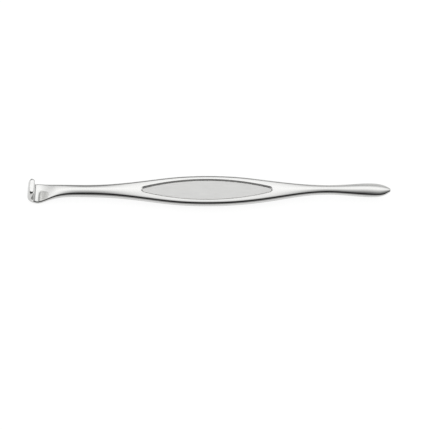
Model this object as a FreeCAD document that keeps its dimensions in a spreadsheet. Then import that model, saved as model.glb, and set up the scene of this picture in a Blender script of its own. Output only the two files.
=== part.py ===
import FreeCAD, Part
import math
import os

import Sketcher

# A one-piece surgical retractor forged from stainless steel: a flat spindle of a handle
# with an oval panel sunk into each face, a slim neck to each side, a leaf-shaped blade on
# the right and a wide flat blade on the left whose end is bent up into a blunt lip.
# X runs along the handle, Z is up, the lip rises to +Z. All sizes are in millimetres.

SIZES = {
    # handle, about its own middle
    "middle_wide": 20.7,
    "middle_thick": 4.7,
    "shoulder_reach": 20.2,
    "shoulder_wide": 18.8,
    "quarter_reach": 38.5,
    "quarter_wide": 13.9,
    "quarter_thick": 4.8,
    # how full the long sides are: their radius as a share of half the thickness
    "side_fullness": 0.9,
    # oval panels sunk into both faces
    "panel_long": 80.0,
    "panel_wide": 14.1,
    "panel_end_radius": 3.0,
    "panel_deep": 1.0,
    "panel_offset": -0.4,
    "panel_floor_radius": 0.45,
    "panel_rim_chamfer": 0.2,
    # left neck, towards the bent blade
    "left_taper_reach": 60.6,
    "left_taper_wide": 8.9,
    "left_neck_reach": 76.0,
    "left_neck_wide": 7.9,
    "left_neck_thick": 5.2,
    # flat blade on the left, which dips under the handle's axis
    "neck_to_blade": 28.3,
    "root_to_blade": 11.3,
    "root_wide": 9.3,
    "root_thick": 3.6,
    "root_dip": 0.75,
    "flare_to_blade": 4.8,
    "flare_wide": 11.7,
    "flare_thick": 2.5,
    "flare_dip": 2.7,
    "blade_wide": 13.2,
    "blade_thick": 2.2,
    "blade_dip": 3.6,
    # the upturned lip at its end
    "bend_inner_radius": 3.5,
    "bend_angle": 108.0,
    "lip_straight": 5.2,
    "lip_wide": 12.0,
    "lip_thick": 2.5,
    "lip_corner_wide": 11.1,
    "lip_end_wide": 9.4,
    "lip_end_thick": 3.3,
    "lip_corner_to_end": 1.2,
    "lip_edge_radius": 0.7,
    # right neck, towards the leaf blade
    "right_taper_reach": 60.6,
    "right_taper_wide": 7.5,
    "right_taper_thick": 4.3,
    "right_taper_rise": 1.15,
    "right_neck_reach": 76.0,
    "right_neck_wide": 6.2,
    "right_neck_thick": 4.2,
    "right_neck_rise": 1.4,
    # leaf blade on the right, with a full belly and a thin rounded point
    "neck_to_leaf": 11.5,
    "leaf_long": 24.4,
    "leaf_root_wide": 7.6,
    "leaf_root_thick": 4.5,
    "leaf_root_rise": 1.2,
    "belly_to_tip": 11.5,
    "leaf_wide": 9.15,
    "leaf_thick": 4.8,
    "leaf_rise": 0.9,
    "nose_to_tip": 3.7,
    "leaf_nose_wide": 6.5,
    "leaf_nose_thick": 3.0,
    "leaf_nose_rise": 0.8,
    "leaf_tip_wide": 1.9,
    "leaf_tip_thick": 1.2,
    "leaf_tip_rise": 1.1,
    "leaf_tip_radius": 0.4,
}

# arcs on each round side of an oval, sections round the bend, and how near an edge lies to
# the outline that made it
SIDE_ARCS = 4
BEND_STEPS = 4
ON_OUTLINE = 0.01

# how far the start of the bend and the point of the leaf lie from the handle's middle
BLADE_REACH = "(Sizes.left_neck_reach + Sizes.neck_to_blade)"
TIP_REACH = "(Sizes.right_neck_reach + Sizes.neck_to_leaf + Sizes.leaf_long)"

doc = FreeCAD.newDocument("retractor")


def make_sheet():
    """The driving sizes, one named cell each."""
    sheet = doc.addObject("Spreadsheet::Sheet", "Sizes")
    for row, (name, value) in enumerate(SIZES.items(), start=1):
        sheet.set(f"A{row}", name)
        sheet.set(f"B{row}", str(value))
        sheet.setAlias(f"B{row}", name)
    doc.recompute()


def origin_plane(body, role):
    """One of the body's own base planes."""
    return next(item for item in body.Origin.OriginFeatures if item.Role == role)


def oval_arcs(half_wide, half_thick, side_radius):
    """The arcs of an oval, each tangent to the next, from the foot of its right side round.

    Both sides are cut into SIDE_ARCS equal arcs; the crowns above and below are one arc each.
    """
    side_offset = half_wide - side_radius
    crown_radius = (side_offset**2 + half_thick**2 - side_radius**2) / (2 * (half_thick - side_radius))
    crown_offset = crown_radius - half_thick
    lean = math.atan2(crown_offset, side_offset)
    side_turn = 2 * lean
    crown_turn = math.pi - side_turn
    arcs = []
    for across, up, radius, first, turn, pieces in (
        (side_offset, 0, side_radius, -lean, side_turn, SIDE_ARCS),
        (0, -crown_offset, crown_radius, lean, crown_turn, 1),
        (-side_offset, 0, side_radius, math.pi - lean, side_turn, SIDE_ARCS),
        (0, crown_offset, crown_radius, math.pi + lean, crown_turn, 1),
    ):
        circle = Part.Circle(FreeCAD.Vector(across, up, 0), FreeCAD.Vector(0, 0, 1), radius)
        for piece in range(pieces):
            begin = first + turn * piece / pieces
            arcs.append(Part.ArcOfCircle(circle, begin, begin + turn / pieces))
    return arcs


def bind_oval(sketch, wide, thick, side):
    """Ties the arcs to each other and to the sheet: width, thickness and radius of the sides."""
    start, end, centre = 1, 2, 3
    across_axis, up_axis = -1, -2
    top, bottom = SIDE_ARCS, 2 * SIDE_ARCS + 1
    half = SIDE_ARCS // 2
    right, left = list(range(top)), list(range(top + 1, bottom))
    rules = [("Coincident", arc, end, (arc + 1) % (bottom + 1), start) for arc in range(bottom + 1)]
    rules += [("Coincident", right[0], centre, arc, centre) for arc in right[1:]]
    rules += [("Coincident", left[0], centre, arc, centre) for arc in left[1:]]
    rules += [
        ("PointOnObject", right[0], centre, across_axis),
        ("PointOnObject", right[half], start, across_axis),
        ("Vertical", right[0], start, right[-1], end),
        ("Symmetric", top, start, top, end, up_axis),
        ("Symmetric", bottom, start, bottom, end, up_axis),
        ("Symmetric", right[half], start, left[half], start, up_axis),
        ("Equal", top, bottom),
    ]
    for step in range(1, half):
        rules.append(("Vertical", right[step], start, right[-step], start))
        rules.append(("Horizontal", right[step], start, left[-step], start))
        rules.append(("Horizontal", right[-step], start, left[step], start))
    for rule in rules:
        sketch.addConstraint(Sketcher.Constraint(*rule))
    offset = f"(({wide}) / 2 - {side})"
    crown = f"(({offset} ^ 2 + (({thick}) / 2) ^ 2 - {side} ^ 2) / (({thick}) - 2 * {side}))"
    lean = f"acos({offset} / ({crown} - {side}))"
    sizes = [
        ("side_radius", ("Radius", right[0]), side),
        ("crown_radius", ("Radius", top), crown),
        ("side_offset", ("DistanceX", across_axis, start, right[0], centre), offset),
    ]
    for step in range(half):
        joint = f"{offset} + {side} * cos({lean} * {1 - step / half})"
        reach = ("DistanceX", across_axis, start, right[-1 - step], end)
        sizes.append((f"joint_{step + 1}", reach, joint))
    for label, rule, size in sizes:
        index = sketch.addConstraint(Sketcher.Constraint(*rule, sketch.evalExpression(size)))
        sketch.renameConstraint(index, label)
        sketch.setExpression(f"Constraints.{label}", size)


def add_section(body, name, reach, rise, wide, thick, pitch="0"):
    """One oval section that stands across the X axis, at reach along it and rise above it.

    The five sizes are expressions on the sheet; pitch leans the section about Y, in degrees.
    """
    sketch = body.newObject("Sketcher::SketchObject", name)
    sketch.AttachmentSupport = [(origin_plane(body, "YZ_Plane"), "")]
    sketch.MapMode = "FlatFace"
    across = FreeCAD.Vector(1, 0, 0)
    place = FreeCAD.Placement(FreeCAD.Vector(0, 0, 0), FreeCAD.Rotation(across, 1))
    sketch.AttachmentOffset = place
    sketch.setExpression(".AttachmentOffset.Base.z", reach)
    sketch.setExpression(".AttachmentOffset.Base.y", rise)
    sketch.setExpression(".AttachmentOffset.Rotation.Angle", pitch)
    half_wide = sketch.evalExpression(wide) / 2
    half_thick = sketch.evalExpression(thick) / 2
    side = f"(Sizes.side_fullness * ({thick}) / 2)"
    sketch.addGeometry(oval_arcs(half_wide, half_thick, sketch.evalExpression(side)), False)
    bind_oval(sketch, wide, thick, side)
    return sketch


def mix(first, last, share):
    """The expression for a size part of the way from one size on the sheet to another."""
    return f"(Sizes.{first} + (Sizes.{last} - Sizes.{first}) * {share})"


def leaf_sections(body):
    """Leaf blade and right neck, from the point to the handle."""
    sections = []
    for part, reach in (
        ("leaf_tip", TIP_REACH),
        ("leaf_nose", f"{TIP_REACH} - Sizes.nose_to_tip"),
        ("leaf", f"{TIP_REACH} - Sizes.belly_to_tip"),
        ("leaf_root", "Sizes.right_neck_reach + Sizes.neck_to_leaf"),
        ("right_neck", "Sizes.right_neck_reach"),
        ("right_taper", "Sizes.right_taper_reach"),
    ):
        sizes = [f"Sizes.{part}_{size}" for size in ("rise", "wide", "thick")]
        sections.append(add_section(body, f"{part}_section", reach, *sizes))
    return sections


def handle_sections(body):
    """The flat spindle between the two necks, alike on both sides of its middle."""
    sections = []
    for part, reach, size, thick in (
        ("right_quarter", "Sizes.quarter_reach", "quarter", "quarter_thick"),
        ("right_shoulder", "Sizes.shoulder_reach", "shoulder", "middle_thick"),
        ("middle", "0", "middle", "middle_thick"),
        ("left_shoulder", "-Sizes.shoulder_reach", "shoulder", "middle_thick"),
        ("left_quarter", "-Sizes.quarter_reach", "quarter", "quarter_thick"),
    ):
        sizes = (reach, "0", f"Sizes.{size}_wide", f"Sizes.{thick}")
        sections.append(add_section(body, f"{part}_section", *sizes))
    return sections


def blade_sections(body):
    """Left neck and flat blade, which sinks below the handle's axis as it widens."""
    sections = []
    for part, reach, rise, thick in (
        ("left_taper", "Sizes.left_taper_reach", "0", "left_neck_thick"),
        ("left_neck", "Sizes.left_neck_reach", "0", "left_neck_thick"),
        ("root", f"({BLADE_REACH} - Sizes.root_to_blade)", "-Sizes.root_dip", "root_thick"),
        ("flare", f"({BLADE_REACH} - Sizes.flare_to_blade)", "-Sizes.flare_dip", "flare_thick"),
        ("blade", BLADE_REACH, "-Sizes.blade_dip", "blade_thick"),
    ):
        sizes = (f"-{reach}", rise, f"Sizes.{part}_wide", f"Sizes.{thick}")
        sections.append(add_section(body, f"{part}_section", *sizes))
    return sections


def bent_section(body, name, share, beyond, wide, thick):
    """A section on the bend, share of the way round it, or beyond its end along the straight lip.

    The outer face keeps to one circle, so what the lip gains in thickness lies on its inner face.
    """
    radius = f"(Sizes.bend_inner_radius + Sizes.blade_thick - {thick} / 2)"
    turn = f"(Sizes.bend_angle * {share})"
    angle = f"({turn} * 1 deg)"
    reach = f"-{BLADE_REACH} - {radius} * sin({angle}) - {beyond} * cos({angle})"
    rise = f"-Sizes.blade_dip + {radius} * (1 - cos({angle})) + {beyond} * sin({angle})"
    return add_section(body, name, reach, rise, wide, thick, turn)


def lip_sections(body):
    """The bend, whose sections stand at equal steps round a circle's arc, and the straight lip."""
    sections = []
    for step in range(1, BEND_STEPS + 1):
        share = step / BEND_STEPS
        wide = mix("blade_wide", "lip_wide", share)
        thick = mix("blade_thick", "lip_thick", share)
        sections.append(bent_section(body, f"bend_section_{step}", share, "0", wide, thick))
    corner = "(Sizes.lip_straight - Sizes.lip_corner_to_end)"
    for part, beyond in (("lip_corner", corner), ("lip_end", "Sizes.lip_straight")):
        sizes = (f"Sizes.{part}_wide", "Sizes.lip_end_thick")
        sections.append(bent_section(body, f"{part}_section", 1, beyond, *sizes))
    return sections


def add_forging(body):
    """The whole outer shape, one smooth skin through every section."""
    sections = leaf_sections(body) + handle_sections(body) + blade_sections(body) + lip_sections(body)
    doc.recompute()
    forging = body.newObject("PartDesign::AdditiveLoft", "forging")
    forging.Profile = sections[0]
    forging.Sections = sections[1:]
    forging.Ruled = False
    doc.recompute()


def add_panels(body):
    """The oval panel cut into the upper face, and its mirror image in the lower one."""
    outline = body.newObject("Sketcher::SketchObject", "panel_outline")
    outline.AttachmentSupport = [(origin_plane(body, "XY_Plane"), "")]
    outline.MapMode = "FlatFace"
    outline.setExpression(".AttachmentOffset.Base.x", "Sizes.panel_offset")
    outline.setExpression(".AttachmentOffset.Base.z", "Sizes.middle_thick / 2 - Sizes.panel_deep")
    half_long = outline.evalExpression("Sizes.panel_long") / 2
    half_wide = outline.evalExpression("Sizes.panel_wide") / 2
    end_radius = outline.evalExpression("Sizes.panel_end_radius")
    outline.addGeometry(oval_arcs(half_long, half_wide, end_radius), False)
    bind_oval(outline, "Sizes.panel_long", "Sizes.panel_wide", "Sizes.panel_end_radius")
    doc.recompute()
    whole = body.Shape.Volume
    panel = body.newObject("PartDesign::Pocket", "upper_panel")
    panel.Profile = outline
    panel.Type = "Length"
    panel.setExpression("Length", "Sizes.middle_thick")
    panel.Reversed = True
    doc.recompute()
    one_panel = whole - body.Shape.Volume
    lower = body.newObject("PartDesign::Mirrored", "lower_panel")
    lower.Originals = [panel]
    lower.MirrorPlane = (origin_plane(body, "XY_Plane"), [""])
    body.Tip = lower
    doc.recompute()
    both_panels = whole - body.Shape.Volume
    if one_panel <= 0 or both_panels <= one_panel:
        raise RuntimeError("a panel cuts nothing away")


def edges_on(shape, outline, flattened=False):
    """Names of the edges of a shape that follow a sketch's outline, or do so seen from above."""
    height = outline.Placement.Base.z
    names = []
    for number, edge in enumerate(shape.Edges, start=1):
        upright = edge.BoundBox.XLength + edge.BoundBox.YLength < ON_OUTLINE
        point = edge.valueAt((edge.FirstParameter + edge.LastParameter) / 2)
        if flattened:
            point.z = height
        if not upright and outline.Shape.distToShape(Part.Vertex(point))[0] < ON_OUTLINE:
            names.append(f"Edge{number}")
    return names


def dress(body, kind, name, edges, size):
    """Rounds or bevels the named edges of the body so far; size names a value on the sheet."""
    feature_type, property_name = {
        "fillet": ("PartDesign::Fillet", "Radius"),
        "chamfer": ("PartDesign::Chamfer", "Size"),
    }[kind]
    base = body.Tip
    feature = body.newObject(feature_type, name)
    feature.Base = (base, edges)
    feature.setExpression(property_name, f"Sizes.{size}")
    body.Tip = feature
    doc.recompute()


def dress_panels(body):
    """Round corners between floors and walls, and a narrow bevel round the rims."""
    outline = doc.getObject("panel_outline")
    height = outline.Placement.Base.z
    floors = []
    for name in edges_on(body.Shape, outline, flattened=True):
        span = body.Shape.getElement(name).BoundBox
        if abs(abs(span.ZMin) - height) < ON_OUTLINE and abs(abs(span.ZMax) - height) < ON_OUTLINE:
            floors.append(name)
    dress(body, "fillet", "panel_floor_rounding", floors, "panel_floor_radius")
    rims = edges_on(body.Shape, outline, flattened=True)
    dress(body, "chamfer", "panel_rim_bevel", rims, "panel_rim_chamfer")


def dress_ends(body):
    """Round edges at the point of the leaf and along the end of the lip."""
    leaf_end = edges_on(body.Shape, doc.getObject("leaf_tip_section"))
    dress(body, "fillet", "leaf_tip_rounding", leaf_end, "leaf_tip_radius")
    lip_end = edges_on(body.Shape, doc.getObject("lip_end_section"))
    dress(body, "fillet", "lip_edge_rounding", lip_end, "lip_edge_radius")


def make_retractor():
    """The whole instrument, in a frame whose origin is under the middle of its length."""
    body = doc.addObject("PartDesign::Body", "retractor")
    body.Label = "retractor"
    add_forging(body)
    add_panels(body)
    dress_panels(body)
    dress_ends(body)
    left_end = f"({BLADE_REACH} + Sizes.bend_inner_radius + Sizes.blade_thick)"
    body.setExpression(".Placement.Base.x", f"({left_end} - {TIP_REACH}) / 2")
    body.setExpression(".Placement.Base.z", "Sizes.blade_dip + Sizes.blade_thick / 2")
    return body


def check_all(parts):
    """Stops before anything is written if any step failed or any shape is unsound."""
    for item in doc.Objects:
        if "Invalid" in item.State or "Error" in item.State:
            raise RuntimeError(f"{item.Name} failed: {item.getStatusString()}")
    for part in parts:
        if part.Shape.isNull() or not part.Shape.isValid():
            raise RuntimeError(f"{part.Label} has no sound shape")


make_sheet()
parts = [make_retractor()]
doc.recompute()
check_all(parts)
os.makedirs("parts", exist_ok=True)
for part in parts:
    part.Shape.exportStep(f"parts/{part.Label}.step")
    print(part.Label, "volume", round(part.Shape.Volume, 1), "faces", len(part.Shape.Faces))
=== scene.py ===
import math

import bpy
import numpy as np
from mathutils import Matrix, Vector


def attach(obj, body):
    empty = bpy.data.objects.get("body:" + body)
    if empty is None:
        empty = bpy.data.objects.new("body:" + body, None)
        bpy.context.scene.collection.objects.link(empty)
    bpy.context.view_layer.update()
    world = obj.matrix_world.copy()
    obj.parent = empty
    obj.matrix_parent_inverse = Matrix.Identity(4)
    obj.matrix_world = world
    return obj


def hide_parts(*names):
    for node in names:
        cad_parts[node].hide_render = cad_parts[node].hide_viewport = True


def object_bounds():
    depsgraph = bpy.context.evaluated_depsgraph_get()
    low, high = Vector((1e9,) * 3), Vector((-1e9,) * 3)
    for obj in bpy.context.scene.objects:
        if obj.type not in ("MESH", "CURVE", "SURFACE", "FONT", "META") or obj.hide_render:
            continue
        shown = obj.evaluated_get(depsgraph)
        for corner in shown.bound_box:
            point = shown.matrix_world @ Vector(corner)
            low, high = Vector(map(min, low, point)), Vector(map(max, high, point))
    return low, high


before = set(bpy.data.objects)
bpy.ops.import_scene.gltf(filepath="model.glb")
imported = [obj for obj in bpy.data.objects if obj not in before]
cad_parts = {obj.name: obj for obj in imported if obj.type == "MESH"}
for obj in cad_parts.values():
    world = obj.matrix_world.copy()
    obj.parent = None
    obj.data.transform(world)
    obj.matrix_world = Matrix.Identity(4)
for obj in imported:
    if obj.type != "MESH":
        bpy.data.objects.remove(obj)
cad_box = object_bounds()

# The retractor. One bar of stainless steel, drop forged to a flat spindle with a slim neck on each
# side, then ground, its wide blade bent up into a blunt lip, and the whole of it polished.
# An oval panel is sunk into both faces of the handle and keeps the fine grain of the die.

MM = 0.001
HANDLE_AXIS = Vector((-0.95, 0.0, 4.7)) * MM

# reach from the handle's middle, rise above its axis, width and thickness of each section, in mm
LEAF = [
    (111.9, 1.1, 1.9, 1.2), (108.2, 0.8, 6.5, 3.0), (100.4, 0.9, 9.15, 4.8), (87.5, 1.2, 7.6, 4.5),
]
RIGHT_ARM = [(76.0, 1.4, 6.2, 4.2), (60.6, 1.15, 7.5, 4.3)]
HANDLE = [
    (38.5, 0.0, 13.9, 4.8), (20.2, 0.0, 18.8, 4.7), (0.0, 0.0, 20.7, 4.7),
    (-20.2, 0.0, 18.8, 4.7), (-38.5, 0.0, 13.9, 4.8),
]
LEFT_ARM = [(-60.6, 0.0, 8.9, 5.2), (-76.0, 0.0, 7.9, 5.2)]
BLADE = [(-93.0, -0.75, 9.3, 3.6), (-99.5, -2.7, 11.7, 2.5), (-104.3, -3.6, 13.2, 2.2)]
# how full the long sides are: their radius as a share of half the thickness, less on the leaf
BAR_SIDE = 0.9
LEAF_SIDES = (0.74, 0.74, 0.78, 0.85)
# the bend keeps its outer face on one circle, and the lip stands straight beyond it
BEND_OUTER_RADIUS, BEND_ANGLE, BEND_STEPS = 5.7, 108.0, 4
LIP_WIDE, LIP_CORNER_WIDE, LIP_END_WIDE = 12.0, 11.1, 9.4
LIP_THICK, LIP_END_THICK = 3.0, 3.3
LIP_STRAIGHT, LIP_END_ROUND = 5.2, 1.2
LIP_EDGE_ROUND, LEAF_POINT_ROUND = 0.7, 0.4
# stations along the point's round, the leaf, the arms and handle, the blade, the bend, the lip and
# the round of its end, and points round each of them
POINT_STATIONS, LENGTH_STATIONS, END_STATIONS = 9, (70, 300, 50, 49, 20), 10
ROUND_POINTS = 96

# each sunk panel: an oval of four arcs, and how far its middle lies from the handle's
PANEL_LONG, PANEL_WIDE, PANEL_END_ROUND, PANEL_OFFSET = 80.0, 14.1, 2.0, -0.4
# its floor above the handle's axis, the round at the foot of its walls and the one on its rim
PANEL_FLOOR, PANEL_FLOOR_ROUND, PANEL_RIM_ROUND = 1.35, 0.3, 0.25
# how far the rim's round reaches past the oval, and the slope of walls and rim in degrees
PANEL_RIM_REACH, PANEL_WALL_SLOPE, PANEL_RIM_SLOPE = 0.3, 48.0, 22.5
# the tool that sinks it: a flat margin within the floor's round, a flare outside the steel, its top
TOOL_MARGIN, TOOL_FLARE, TOOL_FLARE_SLOPE, TOOL_TOP = 0.15, 0.6, 14.0, 4.0
TOOL_FLOOR_RINGS, TOOL_RIM_RINGS = 7, 4

STEEL_COLOUR = (0.76, 0.76, 0.75, 1)
# roughness from one streak of the grain to the next, on the skin and on the floors of the panels
SKIN_GLOSS, FLOOR_GLOSS = (0.13, 0.19), (0.38, 0.5)
# heights in mm of the wide ripple and of the fine scratches, and their share left on the skin
RIPPLE_HEIGHT, SCRATCH_HEIGHT, SKIN_SCRATCHES = 0.004, 0.001, 0.25
# the panels in the material: an oval by a power of its length, its edge, and its height in mm
MASK_POWER, MASK_EDGE, MASK_HIGH = 1.8, 1.03, 1.95


def bar_sections():
    """Sections from leaf point to lip end: reach, rise, width, thickness, pitch, side."""
    rows = [section + (0.0, side) for section, side in zip(LEAF, LEAF_SIDES)]
    rows += [section + (0.0, BAR_SIDE) for section in RIGHT_ARM + HANDLE + LEFT_ARM + BLADE]
    reach, rise, blade_wide, blade_thick = BLADE[-1]

    def on_bend(share, beyond, wide, thick):
        turn = math.radians(BEND_ANGLE) * share
        radius = BEND_OUTER_RADIUS - thick / 2
        return (
            reach - radius * math.sin(turn) - beyond * math.cos(turn),
            rise + radius * (1 - math.cos(turn)) + beyond * math.sin(turn),
            wide, thick, turn, BAR_SIDE,
        )

    for step in range(1, BEND_STEPS + 1):
        share = step / BEND_STEPS
        wide = blade_wide + (LIP_WIDE - blade_wide) * share
        rows.append(on_bend(share, 0.0, wide, blade_thick + (LIP_THICK - blade_thick) * share))
    rows.append(on_bend(1.0, LIP_STRAIGHT - LIP_END_ROUND, LIP_CORNER_WIDE, LIP_END_THICK))
    rows.append(on_bend(1.0, LIP_STRAIGHT, LIP_END_WIDE, LIP_END_THICK))
    return np.array(rows)


def smooth_through(knots, values, places):
    """A cubic spline through values at knots, with the first and last two spans each one cubic."""
    count, step = len(knots), np.diff(knots)
    rule, change = np.zeros((count, count)), np.zeros((count, values.shape[1]))
    for k in range(1, count - 1):
        rule[k, k - 1:k + 2] = step[k - 1], 2 * (step[k - 1] + step[k]), step[k]
        slope_before = (values[k] - values[k - 1]) / step[k - 1]
        slope_after = (values[k + 1] - values[k]) / step[k]
        change[k] = 6 * (slope_after - slope_before)
    rule[0, :3] = step[1], -(step[0] + step[1]), step[0]
    rule[-1, -3:] = step[-1], -(step[-2] + step[-1]), step[-2]
    bend = np.linalg.solve(rule, change)
    k = np.clip(np.searchsorted(knots, places) - 1, 0, count - 2)
    run, span = (places - knots[k])[:, None], step[k][:, None]
    rise = (values[k + 1] - values[k]) / span - span * (2 * bend[k] + bend[k + 1]) / 6
    return (
        values[k] + run * rise + run**2 * bend[k] / 2
        + run**3 * (bend[k + 1] - bend[k]) / (6 * span)
    )


def bar_stations():
    """Close stations along the bar: the six sizes of a section, and how far it is pinched shut."""
    rows = bar_sections()
    steps = np.hypot(np.diff(rows[:, 0]), np.diff(rows[:, 1]))
    knots = np.concatenate([[0], np.cumsum(steps)])
    blade_root = len(LEAF + RIGHT_ARM + HANDLE + LEFT_ARM)
    bend_start = blade_root + len(BLADE) - 1
    corners = knots[[len(LEAF) - 1, blade_root, bend_start, bend_start + BEND_STEPS]]
    marks = [LEAF_POINT_ROUND, *corners, knots[-1] - LIP_EDGE_ROUND]
    point_turns = np.linspace(0, math.pi / 2, POINT_STATIONS)[:-1]
    end_turns = np.linspace(0, math.pi / 2, END_STATIONS)
    places = np.concatenate([
        LEAF_POINT_ROUND * (1 - np.cos(point_turns)),
        *(np.linspace(*span)[:-1] for span in zip(marks, marks[1:], LENGTH_STATIONS)),
        knots[-1] - LIP_EDGE_ROUND * (1 - np.sin(end_turns)),
    ])
    stations = smooth_through(knots, rows, places)
    for at_end, radius in ((places, LEAF_POINT_ROUND), (knots[-1] - places, LIP_EDGE_ROUND)):
        short = np.clip(radius - at_end, 0, radius)
        inset = radius - np.sqrt(radius**2 - short**2)
        stations[:, 2] -= 2 * inset
        stations[:, 3] -= 2 * inset
    stations = np.column_stack([stations, np.zeros(len(stations))])
    closing = stations[[0, -1]].copy()
    closing[:, -1] = 1
    return np.vstack([closing[:1], stations, closing[1:]])


def oval_sizes(half_wide, half_thick, side):
    """Offset of the side circles, radius and offset of the crown circles, and where they meet."""
    offset = half_wide - side
    crown = (offset**2 + half_thick**2 - side**2) / (2 * (half_thick - side))
    return offset, crown, crown - half_thick, math.atan2(crown - half_thick, offset)


def panel_outline(side_steps=28, crown_steps=150):
    """Points of the four-arc oval round a panel, each with the direction that points outwards."""
    offset, crown, crown_offset, lean = oval_sizes(PANEL_LONG / 2, PANEL_WIDE / 2, PANEL_END_ROUND)
    points = []
    for across, up, radius, first, turn, steps in (
        (offset, 0, PANEL_END_ROUND, -lean, 2 * lean, side_steps),
        (0, -crown_offset, crown, lean, math.pi - 2 * lean, crown_steps),
        (-offset, 0, PANEL_END_ROUND, math.pi - lean, 2 * lean, side_steps),
        (0, crown_offset, crown, math.pi + lean, math.pi - 2 * lean, crown_steps),
    ):
        for step in range(steps):
            angle = first + turn * step / steps
            out = np.array((math.cos(angle), math.sin(angle)))
            points.append((across + radius * out[0] + PANEL_OFFSET, up + radius * out[1], *out))
    return np.array(points)


def face_height(stations, reach, across, upper):
    """How far above or below the axis the handle's face lies at a point of it, seen from above."""
    order = np.argsort(stations[:, 0])
    rise, wide, thick = (
        np.interp(reach, stations[order, 0], stations[order, column]) for column in (1, 2, 3)
    )
    _, crown, crown_offset, _ = oval_sizes(wide / 2, thick / 2, BAR_SIDE * thick / 2)
    height = math.sqrt(crown**2 - across**2) - crown_offset
    return height + (rise if upper else -rise)


def make_panel_tool(stations):
    """A closed block over each face whose foot has the sunk panel's floor, walls and rim."""
    outline = panel_outline()
    count, slope = len(outline), math.radians(PANEL_WALL_SLOPE)
    both_rounds = PANEL_FLOOR_ROUND + PANEL_RIM_ROUND
    flare_rise = TOOL_FLARE * math.tan(math.radians(TOOL_FLARE_SLOPE))
    points, faces = [], []
    for upper in (True, False):
        heights = np.array([face_height(stations, x, y, upper) for x, y, _, _ in outline])
        wall = heights - PANEL_FLOOR - both_rounds * (1 - math.cos(slope))
        foot = PANEL_RIM_REACH - both_rounds * math.sin(slope) - wall / math.tan(slope)
        rings = [(foot - TOOL_MARGIN, np.full(count, PANEL_FLOOR))]
        for turn in np.linspace(0, slope, TOOL_FLOOR_RINGS):
            height = PANEL_FLOOR + PANEL_FLOOR_ROUND * (1 - math.cos(turn))
            rings.append((foot + PANEL_FLOOR_ROUND * math.sin(turn), np.full(count, height)))
        for turn in np.linspace(slope, math.radians(PANEL_RIM_SLOPE), TOOL_RIM_RINGS):
            reach = np.full(count, PANEL_RIM_REACH - PANEL_RIM_ROUND * math.sin(turn))
            rings.append((reach, heights - PANEL_RIM_ROUND * (1 - math.cos(turn))))
        reach, height = rings[-1]
        rings.append((reach + TOOL_FLARE, height + flare_rise))
        rings.append((reach + TOOL_FLARE, np.full(count, TOOL_TOP)))
        start = len(points)
        for reach, height in rings:
            for (x, y, out_x, out_y), out, z in zip(outline, reach, height):
                points.append((x + out * out_x, y + out * out_y, z if upper else -z))
        shell = [tuple(range(start, start + count))[::-1]]
        for ring in range(len(rings) - 1):
            for point in range(count):
                after = (point + 1) % count
                first, second = start + ring * count, start + (ring + 1) * count
                shell.append((first + point, first + after, second + after, second + point))
        shell.append(tuple(range(start + (len(rings) - 1) * count, start + len(rings) * count)))
        faces += shell if upper else [face[::-1] for face in shell]
    mesh = bpy.data.meshes.new("panel_tool")
    mesh.from_pydata([Vector(point) * MM + HANDLE_AXIS for point in points], [], faces)
    tool = bpy.data.objects.new("panel_tool", mesh)
    bpy.context.scene.collection.objects.link(tool)
    return tool


def make_station_line(stations):
    """One vertex for each station, which carries its sizes as attributes for the forging tree."""
    mesh = bpy.data.meshes.new("retractor_forging")
    line = [Vector((reach, 0, rise)) * MM + HANDLE_AXIS for reach, rise in stations[:, :2]]
    mesh.from_pydata(line, [], [])
    for name, values in (
        ("half_wide", stations[:, 2] / 2 * MM),
        ("half_thick", stations[:, 3] / 2 * MM),
        ("side_radius", stations[:, 5] * stations[:, 3] / 2 * MM),
        ("pitch", stations[:, 4]),
        ("pinch", stations[:, 6]),
    ):
        attribute = mesh.attributes.new(name, "FLOAT", "POINT")
        attribute.data.foreach_set("value", values.astype(np.float32))
    line_object = bpy.data.objects.new("retractor_forging", mesh)
    bpy.context.scene.collection.objects.link(line_object)
    return line_object


def feed(tree, socket, value):
    """Links a socket to another one, or sets it to a plain value."""
    if isinstance(value, bpy.types.NodeSocket):
        tree.links.new(value, socket)
    else:
        socket.default_value = value


def math_in(tree):
    """A function that adds a math node to the tree and gives its result."""
    def worked(operation, *values):
        node = tree.nodes.new("ShaderNodeMath")
        node.operation = operation
        for socket, value in zip(node.inputs, values):
            feed(tree, socket, value)
        return node.outputs[0]

    return worked


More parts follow.
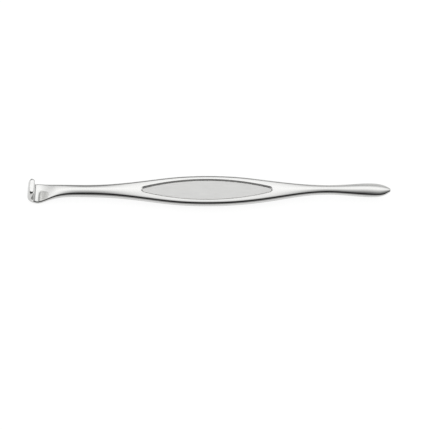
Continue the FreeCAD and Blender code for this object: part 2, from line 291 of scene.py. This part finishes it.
def make_forging_tree():
    """Stations become one skin of oval sections; the panel tool is then sunk into it."""
    tree = bpy.data.node_groups.new("forged_bar", "GeometryNodeTree")
    for name, kind in (
        ("Stations", "NodeSocketGeometry"), ("Round Points", "NodeSocketInt"),
        ("Panel Tool", "NodeSocketObject"), ("Steel", "NodeSocketMaterial"),
    ):
        tree.interface.new_socket(name, in_out="INPUT", socket_type=kind)
    tree.interface.new_socket("Bar", in_out="OUTPUT", socket_type="NodeSocketGeometry")
    given, result = tree.nodes.new("NodeGroupInput"), tree.nodes.new("NodeGroupOutput")
    worked = math_in(tree)

    def step(kind, inputs=(), **settings):
        node = tree.nodes.new(kind)
        for name, value in settings.items():
            setattr(node, name, value)
        for name, value in dict(inputs).items():
            feed(tree, node.inputs[name], value)
        return node

    # the skin is one grid of points: which station a point belongs to, and its place round it
    round_points = given.outputs["Round Points"]
    row = worked("ADD", round_points, 1.0)
    index = step("GeometryNodeInputIndex").outputs[0]
    station = worked("FLOOR", worked("DIVIDE", worked("ADD", index, 0.5), row))
    place = worked("SUBTRACT", index, worked("MULTIPLY", station, row))
    quarters = worked("DIVIDE", worked("MULTIPLY", place, 4.0), round_points)
    share = worked("PINGPONG", quarters, 1.0)
    first_half = worked("LESS_THAN", quarters, 2.0)
    upwards = worked("SUBTRACT", worked("MULTIPLY", first_half, 2.0), 1.0)
    middle = worked("LESS_THAN", worked("ABSOLUTE", worked("SUBTRACT", quarters, 2.0)), 1.0)
    sidewards = worked("SUBTRACT", 1.0, worked("MULTIPLY", middle, 2.0))

    def of_station(name):
        """What the point's station carries: its place on the line, or one of its sizes."""
        if name == "position":
            data_type = "FLOAT_VECTOR"
            carried = step("GeometryNodeInputPosition").outputs[0]
        else:
            data_type = "FLOAT"
            attribute = step("GeometryNodeInputNamedAttribute", {"Name": name}, data_type="FLOAT")
            carried = attribute.outputs["Attribute"]
        sample = step(
            "GeometryNodeSampleIndex", {"Geometry": given.outputs["Stations"], "Index": station},
            data_type=data_type, domain="POINT",
        )
        feed(tree, next(s for s in sample.inputs if s.name == "Value" and s.enabled), carried)
        return next(s for s in sample.outputs if s.enabled)

    # the oval of four arcs, as oval_sizes has it, and the turn along its side or its crown
    half_wide, half_thick = of_station("half_wide"), of_station("half_thick")
    side = of_station("side_radius")
    offset = worked("SUBTRACT", half_wide, side)
    offset_squared = worked("MULTIPLY", offset, offset)
    thick_squared = worked("MULTIPLY", half_thick, half_thick)
    both_squared = worked("ADD", offset_squared, thick_squared)
    squares = worked("SUBTRACT", both_squared, worked("MULTIPLY", side, side))
    twice_flatter = worked("MULTIPLY", worked("SUBTRACT", half_thick, side), 2.0)
    crown = worked("DIVIDE", squares, twice_flatter)
    crown_offset = worked("SUBTRACT", crown, half_thick)
    lean = worked("ARCTAN2", crown_offset, offset)
    on_side = worked("LESS_THAN", share, 0.5)
    twice = worked("MULTIPLY", share, 2.0)
    turn_side = worked("MULTIPLY", lean, worked("MINIMUM", twice, 1.0))
    crown_share = worked("MAXIMUM", worked("SUBTRACT", twice, 1.0), 0.0)
    turn_crown = worked("MULTIPLY", worked("SUBTRACT", math.pi / 2, lean), crown_share)
    turn = worked("ADD", turn_side, turn_crown)
    cosine, sine = worked("COSINE", turn), worked("SINE", turn)

    on_crown = worked("SUBTRACT", 1.0, on_side)

    def either(side_value, crown_value):
        side_part = worked("MULTIPLY", side_value, on_side)
        return worked("ADD", side_part, worked("MULTIPLY", crown_value, on_crown))

    # its place across and above the line, pinched shut at both ends and tilted round the bend
    side_across = worked("MULTIPLY_ADD", side, cosine, offset)
    across = either(side_across, worked("MULTIPLY", crown, cosine))
    crown_up = worked("SUBTRACT", worked("MULTIPLY", crown, sine), crown_offset)
    up = either(worked("MULTIPLY", side, sine), crown_up)
    open_share = worked("SUBTRACT", 1.0, of_station("pinch"))
    across = worked("MULTIPLY", across, sidewards)
    up = worked("MULTIPLY", worked("MULTIPLY", up, upwards), open_share)
    pitch = of_station("pitch")
    aside = step("ShaderNodeCombineXYZ", {
        "X": worked("MULTIPLY", up, worked("SINE", pitch)),
        "Y": across,
        "Z": worked("MULTIPLY", up, worked("COSINE", pitch)),
    }).outputs[0]
    spot = step("ShaderNodeVectorMath", {0: of_station("position"), 1: aside}, operation="ADD")

    # the skin is closed, the panels are sunk into it, and the steel goes on
    station_count = step("GeometryNodeAttributeDomainSize", {"Geometry": given.outputs["Stations"]})
    grid = step("GeometryNodeMeshGrid", {
        "Vertices X": station_count.outputs["Point Count"], "Vertices Y": row,
    })
    skin = step("GeometryNodeSetPosition", {
        "Geometry": grid.outputs["Mesh"], "Position": spot.outputs[0],
    })
    closed = step("GeometryNodeMergeByDistance", {"Geometry": skin.outputs[0], "Distance": 1e-6})
    tool = step("GeometryNodeObjectInfo", {"Object": given.outputs["Panel Tool"]})
    sunk = step("GeometryNodeMeshBoolean", {
        "Mesh 1": closed.outputs[0], "Mesh 2": tool.outputs["Geometry"],
    }, operation="DIFFERENCE", solver="EXACT")
    smooth = step("GeometryNodeSetShadeSmooth", {"Geometry": sunk.outputs["Mesh"]})
    real = step("GeometryNodeRealizeInstances", {"Geometry": smooth.outputs[0]})
    dressed = step("GeometryNodeSetMaterial", {
        "Geometry": real.outputs[0], "Material": given.outputs["Steel"],
    })
    feed(tree, result.inputs["Bar"], dressed.outputs[0])
    return tree


def make_grain_group():
    """Long streaks that run along the bar: a height for bump, and a strength from 0 to 1."""
    group = bpy.data.node_groups.new("polishing_grain", "ShaderNodeTree")
    for name, value in (("Streak Length", 8.0), ("Streak Width", 0.2), ("Detail", 2.0)):
        socket = group.interface.new_socket(name, in_out="INPUT", socket_type="NodeSocketFloat")
        socket.default_value = value
    for name in ("Height", "Streak"):
        group.interface.new_socket(name, in_out="OUTPUT", socket_type="NodeSocketFloat")
    nodes, links, worked = group.nodes, group.links, math_in(group)
    given, result = nodes.new("NodeGroupInput"), nodes.new("NodeGroupOutput")
    axes = nodes.new("ShaderNodeSeparateXYZ")
    links.new(nodes.new("ShaderNodeTexCoord").outputs["Object"], axes.inputs[0])
    scaled = nodes.new("ShaderNodeCombineXYZ")
    for axis, size in (("X", "Streak Length"), ("Y", "Streak Width"), ("Z", "Streak Width")):
        in_mm = worked("DIVIDE", axes.outputs[axis], MM)
        links.new(worked("DIVIDE", in_mm, given.outputs[size]), scaled.inputs[axis])
    noise = nodes.new("ShaderNodeTexNoise")
    noise.inputs["Scale"].default_value = 1.0
    noise.inputs["Roughness"].default_value = 0.55
    links.new(scaled.outputs[0], noise.inputs["Vector"])
    links.new(given.outputs["Detail"], noise.inputs["Detail"])
    links.new(noise.outputs[0], result.inputs["Height"])
    spread = nodes.new("ShaderNodeMapRange")
    spread.inputs["From Min"].default_value = 0.3
    spread.inputs["From Max"].default_value = 0.7
    links.new(noise.outputs[0], spread.inputs["Value"])
    links.new(spread.outputs[0], result.inputs["Streak"])
    return group


def make_panel_mask_group():
    """One on the floors and walls of the two sunk panels, nought on the polished skin."""
    group = bpy.data.node_groups.new("sunk_panel", "ShaderNodeTree")
    for name, value in (
        ("Half Long", PANEL_LONG / 2), ("Half Wide", PANEL_WIDE / 2), ("Depth", MASK_HIGH),
    ):
        socket = group.interface.new_socket(name, in_out="INPUT", socket_type="NodeSocketFloat")
        socket.default_value = value
    group.interface.new_socket("Panel", in_out="OUTPUT", socket_type="NodeSocketFloat")
    nodes, links, worked = group.nodes, group.links, math_in(group)
    given, result = nodes.new("NodeGroupInput"), nodes.new("NodeGroupOutput")
    middle = nodes.new("ShaderNodeVectorMath")
    middle.operation = "SUBTRACT"
    middle.inputs[1].default_value = HANDLE_AXIS + Vector((PANEL_OFFSET * MM, 0, 0))
    links.new(nodes.new("ShaderNodeTexCoord").outputs["Object"], middle.inputs[0])
    axes = nodes.new("ShaderNodeSeparateXYZ")
    links.new(middle.outputs[0], axes.inputs[0])

    def share_of(axis, size):
        in_mm = worked("DIVIDE", axes.outputs[axis], MM)
        return worked("DIVIDE", worked("ABSOLUTE", in_mm), given.outputs[size])

    along, across = share_of("X", "Half Long"), share_of("Y", "Half Wide")
    along_power = worked("POWER", along, MASK_POWER)
    round_oval = worked("ADD", along_power, worked("MULTIPLY", across, across))
    inside = worked("LESS_THAN", round_oval, MASK_EDGE)
    below = worked("LESS_THAN", share_of("Z", "Depth"), 1.0)
    links.new(worked("MULTIPLY", inside, below), result.inputs["Panel"])
    return group


def make_steel():
    """Polished stainless steel; the panel floors keep a matt grain that runs along the handle."""
    steel = bpy.data.materials.new("polished_steel")
    steel.use_nodes = True
    nodes, links = steel.node_tree.nodes, steel.node_tree.links
    shader = nodes["Principled BSDF"]
    shader.inputs["Base Color"].default_value = STEEL_COLOUR
    shader.inputs["Metallic"].default_value = 1.0

    def placed(group, **values):
        node = nodes.new("ShaderNodeGroup")
        node.node_tree = group
        for name, value in values.items():
            node.inputs[name.replace("_", " ")].default_value = value
        return node

    def mixed(share, first, second):
        node = nodes.new("ShaderNodeMix")
        node.data_type = "FLOAT"
        sockets = [socket for socket in node.inputs if socket.enabled]
        for socket, value in zip(sockets, (share, first, second)):
            feed(steel.node_tree, socket, value)
        return next(socket for socket in node.outputs if socket.enabled)

    grain = make_grain_group()
    fine = placed(grain, Streak_Length=9.0, Streak_Width=0.16, Detail=3.0)
    wide = placed(grain, Streak_Length=14.0, Streak_Width=1.6, Detail=1.0)
    panel = placed(
        make_panel_mask_group(),
        Half_Long=PANEL_LONG / 2, Half_Wide=PANEL_WIDE / 2, Depth=MASK_HIGH,
    ).outputs["Panel"]
    skin_gloss = mixed(wide.outputs["Streak"], *SKIN_GLOSS)
    floor_gloss = mixed(fine.outputs["Streak"], *FLOOR_GLOSS)
    links.new(mixed(panel, skin_gloss, floor_gloss), shader.inputs["Roughness"])
    ripple = nodes.new("ShaderNodeBump")
    ripple.inputs["Distance"].default_value = RIPPLE_HEIGHT * MM
    ripple.inputs["Strength"].default_value = 1.0
    links.new(wide.outputs["Height"], ripple.inputs["Height"])
    scratch = nodes.new("ShaderNodeBump")
    scratch.inputs["Distance"].default_value = SCRATCH_HEIGHT * MM
    links.new(mixed(panel, SKIN_SCRATCHES, 1.0), scratch.inputs["Strength"])
    links.new(fine.outputs["Height"], scratch.inputs["Height"])
    links.new(ripple.outputs[0], scratch.inputs["Normal"])
    links.new(scratch.outputs[0], shader.inputs["Normal"])
    return steel


def dress_bar(line_object, tree, tool, steel):
    """Runs the tree once and keeps its result as a plain mesh."""
    forge = line_object.modifiers.new("forge", "NODES")
    forge.node_group = tree
    values = {"Round Points": ROUND_POINTS, "Panel Tool": tool, "Steel": steel}
    for socket in tree.interface.items_tree:
        if socket.in_out == "INPUT" and socket.name in values:
            forge[socket.identifier] = values[socket.name]
    depsgraph = bpy.context.evaluated_depsgraph_get()
    evaluated = line_object.evaluated_get(depsgraph)
    mesh = bpy.data.meshes.new_from_object(evaluated, depsgraph=depsgraph)
    line_object.modifiers.remove(forge)
    line_object.data = mesh
    mesh.name = "retractor_forging"
    mesh.set_sharp_from_angle(angle=math.radians(12))
    return line_object


def fit_inside(mesh, box, margin=1e-6):
    """Draws the mesh in by the few hundredths of a millimetre that it is larger than the box."""
    points = np.empty(len(mesh.vertices) * 3, dtype=np.float32)
    mesh.vertices.foreach_get("co", points)
    points = points.reshape(-1, 3).astype(float)
    low, high = points.min(axis=0), points.max(axis=0)
    new_low = np.maximum(low, np.array(box[0]) + margin)
    new_high = np.minimum(high, np.array(box[1]) - margin)
    points = new_low + (points - low) * (new_high - new_low) / (high - low)
    mesh.vertices.foreach_set("co", points.astype(np.float32).ravel())
    mesh.update()


stations = bar_stations()
panel_tool = make_panel_tool(stations)
retractor = dress_bar(make_station_line(stations), make_forging_tree(), panel_tool, make_steel())
bpy.data.objects.remove(panel_tool)
fit_inside(retractor.data, cad_box)
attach(retractor, "root")
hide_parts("retractor")

# The table top. A flat board faced with plain white laminate, on which the instrument lies loose.
# It is far wider than the picture, so that none of its edges shows.

TABLE_WIDE = 6.0
LAMINATE_COLOUR, LAMINATE_GLOSS = (0.22, 0.22, 0.22, 1), 0.8
# how bright it glows where the camera sees it, and where polished steel mirrors it
SEEN_GLOW, MIRRORED_GLOW = 0.82, 0.6


def make_laminate():
    """White, with most of its brightness its own where it is seen, so that shadows stay soft."""
    laminate = bpy.data.materials.new("white_laminate")
    laminate.use_nodes = True
    nodes, worked = laminate.node_tree.nodes, math_in(laminate.node_tree)
    shader = nodes["Principled BSDF"]
    shader.inputs["Base Color"].default_value = LAMINATE_COLOUR
    shader.inputs["Roughness"].default_value = LAMINATE_GLOSS
    shader.inputs["Specular IOR Level"].default_value = 0.0
    shader.inputs["Emission Color"].default_value = (1, 1, 1, 1)
    ray = nodes.new("ShaderNodeLightPath").outputs
    mirrored = worked("MAXIMUM", ray["Is Glossy Ray"], ray["Is Transmission Ray"])
    dimmed = worked("MULTIPLY", mirrored, MIRRORED_GLOW)
    glow = worked("MULTIPLY_ADD", ray["Is Camera Ray"], SEEN_GLOW, dimmed)
    feed(laminate.node_tree, shader.inputs["Emission Strength"], glow)
    return laminate


bpy.ops.mesh.primitive_plane_add(size=TABLE_WIDE, location=(0, 0, cad_box[0][2]))
table_top = bpy.context.object
table_top.name = "table_top"
table_top.data.materials.append(make_laminate())

# The studio. Plain white light all round, inside a long tent of white cloth that the polished
# steel mirrors: brightest above the far side, dark in a slot on the near side for the lens, and
# less bright over the leaf's end. A low white card stands on the far side there.

world = bpy.data.worlds.new("white_studio")
bpy.context.scene.world = world
world.use_nodes = True
world.node_tree.nodes["Background"].inputs["Color"].default_value = (1, 1, 1, 1)
world.node_tree.nodes["Background"].inputs["Strength"].default_value = 1.0

TENT_RADIUS, TENT_HALF_LONG, HOOP_STEPS = 1.2, 1.3, 90
# degrees round the tent from its near foot to its far foot, and how bright it is there
TENT_LIGHT = [
    (0, 0.45), (20, 0.3), (38, 0.08), (46, 0.0), (66, 0.0), (76, 0.08),
    (84, 0.22), (93, 0.52), (103, 0.83), (112, 1.16), (122, 1.3), (134, 1.06),
    (143, 0.68), (150, 0.28), (158, 0.12), (172, 0.12), (178, 0.25), (180, 0.3),
]
# metres along the roof, and the share of its light left there
ROOF_ALONG = [(-1.3, 0.9), (-0.9, 1.0), (0.62, 1.0), (0.78, 0.4), (1.3, 0.4)]
# share of the tent's height up its two ends, and how bright they are there
LEAF_END_LIGHT = [(0.0, 1.3), (0.3, 1.3), (0.4, 0.35), (1.0, 0.35)]
BLADE_END_LIGHT = [(0.0, 1.0), (0.2, 1.0), (0.28, 0.15), (0.42, 0.15), (0.55, 0.9), (1.0, 1.1)]
# the card: its place across the tent, its two ends along it, its height and how bright it is
CARD_PLACE, CARD_LEFT, CARD_RIGHT, CARD_HIGH, CARD_LIGHT = 1.0, 0.14, 1.25, 0.58, 0.7


def make_tent_cloth(name, light, round_the_tent):
    """Cloth that glows as bright as the table says, by degrees round the tent or by height."""
    cloth = bpy.data.materials.new(name)
    cloth.use_nodes = True
    nodes, links, worked = cloth.node_tree.nodes, cloth.node_tree.links, math_in(cloth.node_tree)
    nodes.remove(nodes["Principled BSDF"])

    def ramped(share, table, start, end):
        ramp = nodes.new("ShaderNodeValToRGB")
        stops = ramp.color_ramp.elements
        while len(stops) < len(table):
            stops.new(0.5)
        for stop, (place, glow) in zip(stops, table):
            stop.position = (place - start) / (end - start)
            stop.color = (glow, glow, glow, 1)
        links.new(share, ramp.inputs[0])
        return ramp.outputs["Color"]

    axes = nodes.new("ShaderNodeSeparateXYZ")
    links.new(nodes.new("ShaderNodeTexCoord").outputs["Object"], axes.inputs[0])
    emission = nodes.new("ShaderNodeEmission")
    if round_the_tent:
        turn = worked("ARCTAN2", axes.outputs["Z"], worked("MULTIPLY", axes.outputs["Y"], -1.0))
        share, whole = worked("DIVIDE", turn, math.pi), 180
        along = worked("MULTIPLY_ADD", axes.outputs["X"], 0.5 / TENT_HALF_LONG, 0.5)
        left_there = ramped(along, ROOF_ALONG, -TENT_HALF_LONG, TENT_HALF_LONG)
        links.new(left_there, emission.inputs["Strength"])
    else:
        share, whole = worked("DIVIDE", axes.outputs["Z"], TENT_RADIUS), 1
    links.new(ramped(share, light, 0, whole), emission.inputs["Color"])
    links.new(emission.outputs[0], nodes["Material Output"].inputs["Surface"])
    return cloth


def add_tent_wall(name, points, faces, cloth):
    """One wall of the tent, seen only by the rays that the polished steel mirrors."""
    mesh = bpy.data.meshes.new(name)
    mesh.from_pydata(points, [], faces)
    mesh.materials.append(cloth)
    wall = bpy.data.objects.new(name, mesh)
    bpy.context.scene.collection.objects.link(wall)
    wall.visible_camera = wall.visible_diffuse = False
    wall.visible_shadow = wall.visible_transmission = False


turns = [math.pi * step / HOOP_STEPS for step in range(HOOP_STEPS + 1)]
hoop = [(-TENT_RADIUS * math.cos(turn), TENT_RADIUS * math.sin(turn)) for turn in turns]
add_tent_wall(
    "tent_roof",
    [(x, y, z) for y, z in hoop for x in (-TENT_HALF_LONG, TENT_HALF_LONG)],
    [(2 * step, 2 * step + 1, 2 * step + 3, 2 * step + 2) for step in range(HOOP_STEPS)],
    make_tent_cloth("tent_roof_cloth", TENT_LIGHT, True),
)
for name, reach, light in (
    ("tent_leaf_end", TENT_HALF_LONG, LEAF_END_LIGHT),
    ("tent_blade_end", -TENT_HALF_LONG, BLADE_END_LIGHT),
):
    rim = [(reach, y, z) for y, z in hoop]
    cloth = make_tent_cloth(name + "_cloth", light, False)
    add_tent_wall(name, rim, [tuple(range(len(rim)))], cloth)
add_tent_wall(
    "reflector_card",
    [(x, CARD_PLACE, z) for z in (0.0, CARD_HIGH) for x in (CARD_LEFT, CARD_RIGHT)],
    [(0, 1, 3, 2)],
    make_tent_cloth("reflector_card_cloth", [(0.0, CARD_LIGHT), (1.0, CARD_LIGHT)], False),
)

# The camera. It stands 0.8 m away and looks down at 62 degrees, straight across the handle, with
# a long lens that keeps the two ends of the bar nearly as large as its middle.

CAMERA_TILT, CAMERA_DISTANCE = 28.0, 0.8
FILM_WIDE, LENS_LONG = 36.0, 109.4
# the point of the bar above the picture's middle, and how far above it, in mm
AIM_POINT, AIM_ABOVE = Vector((3.61, 0, 4.7)), 14.69

camera = bpy.data.cameras.new("camera")
camera.sensor_width, camera.lens = FILM_WIDE, LENS_LONG
camera.clip_start, camera.clip_end = 0.05, 20
camera_object = bpy.data.objects.new("camera", camera)
bpy.context.scene.collection.objects.link(camera_object)
tilt = math.radians(CAMERA_TILT)
back = Vector((0, -math.sin(tilt), math.cos(tilt)))
picture_up = Vector((0, math.cos(tilt), math.sin(tilt)))
aim = AIM_POINT * MM - picture_up * AIM_ABOVE * MM
facing = Matrix(((1, 0, 0), (0, picture_up.y, back.y), (0, picture_up.z, back.z))).to_4x4()
camera_object.matrix_world = Matrix.Translation(aim + back * CAMERA_DISTANCE) @ facing
bpy.context.scene.camera = camera_object
bpy.context.scene.view_settings.view_transform = "Standard"
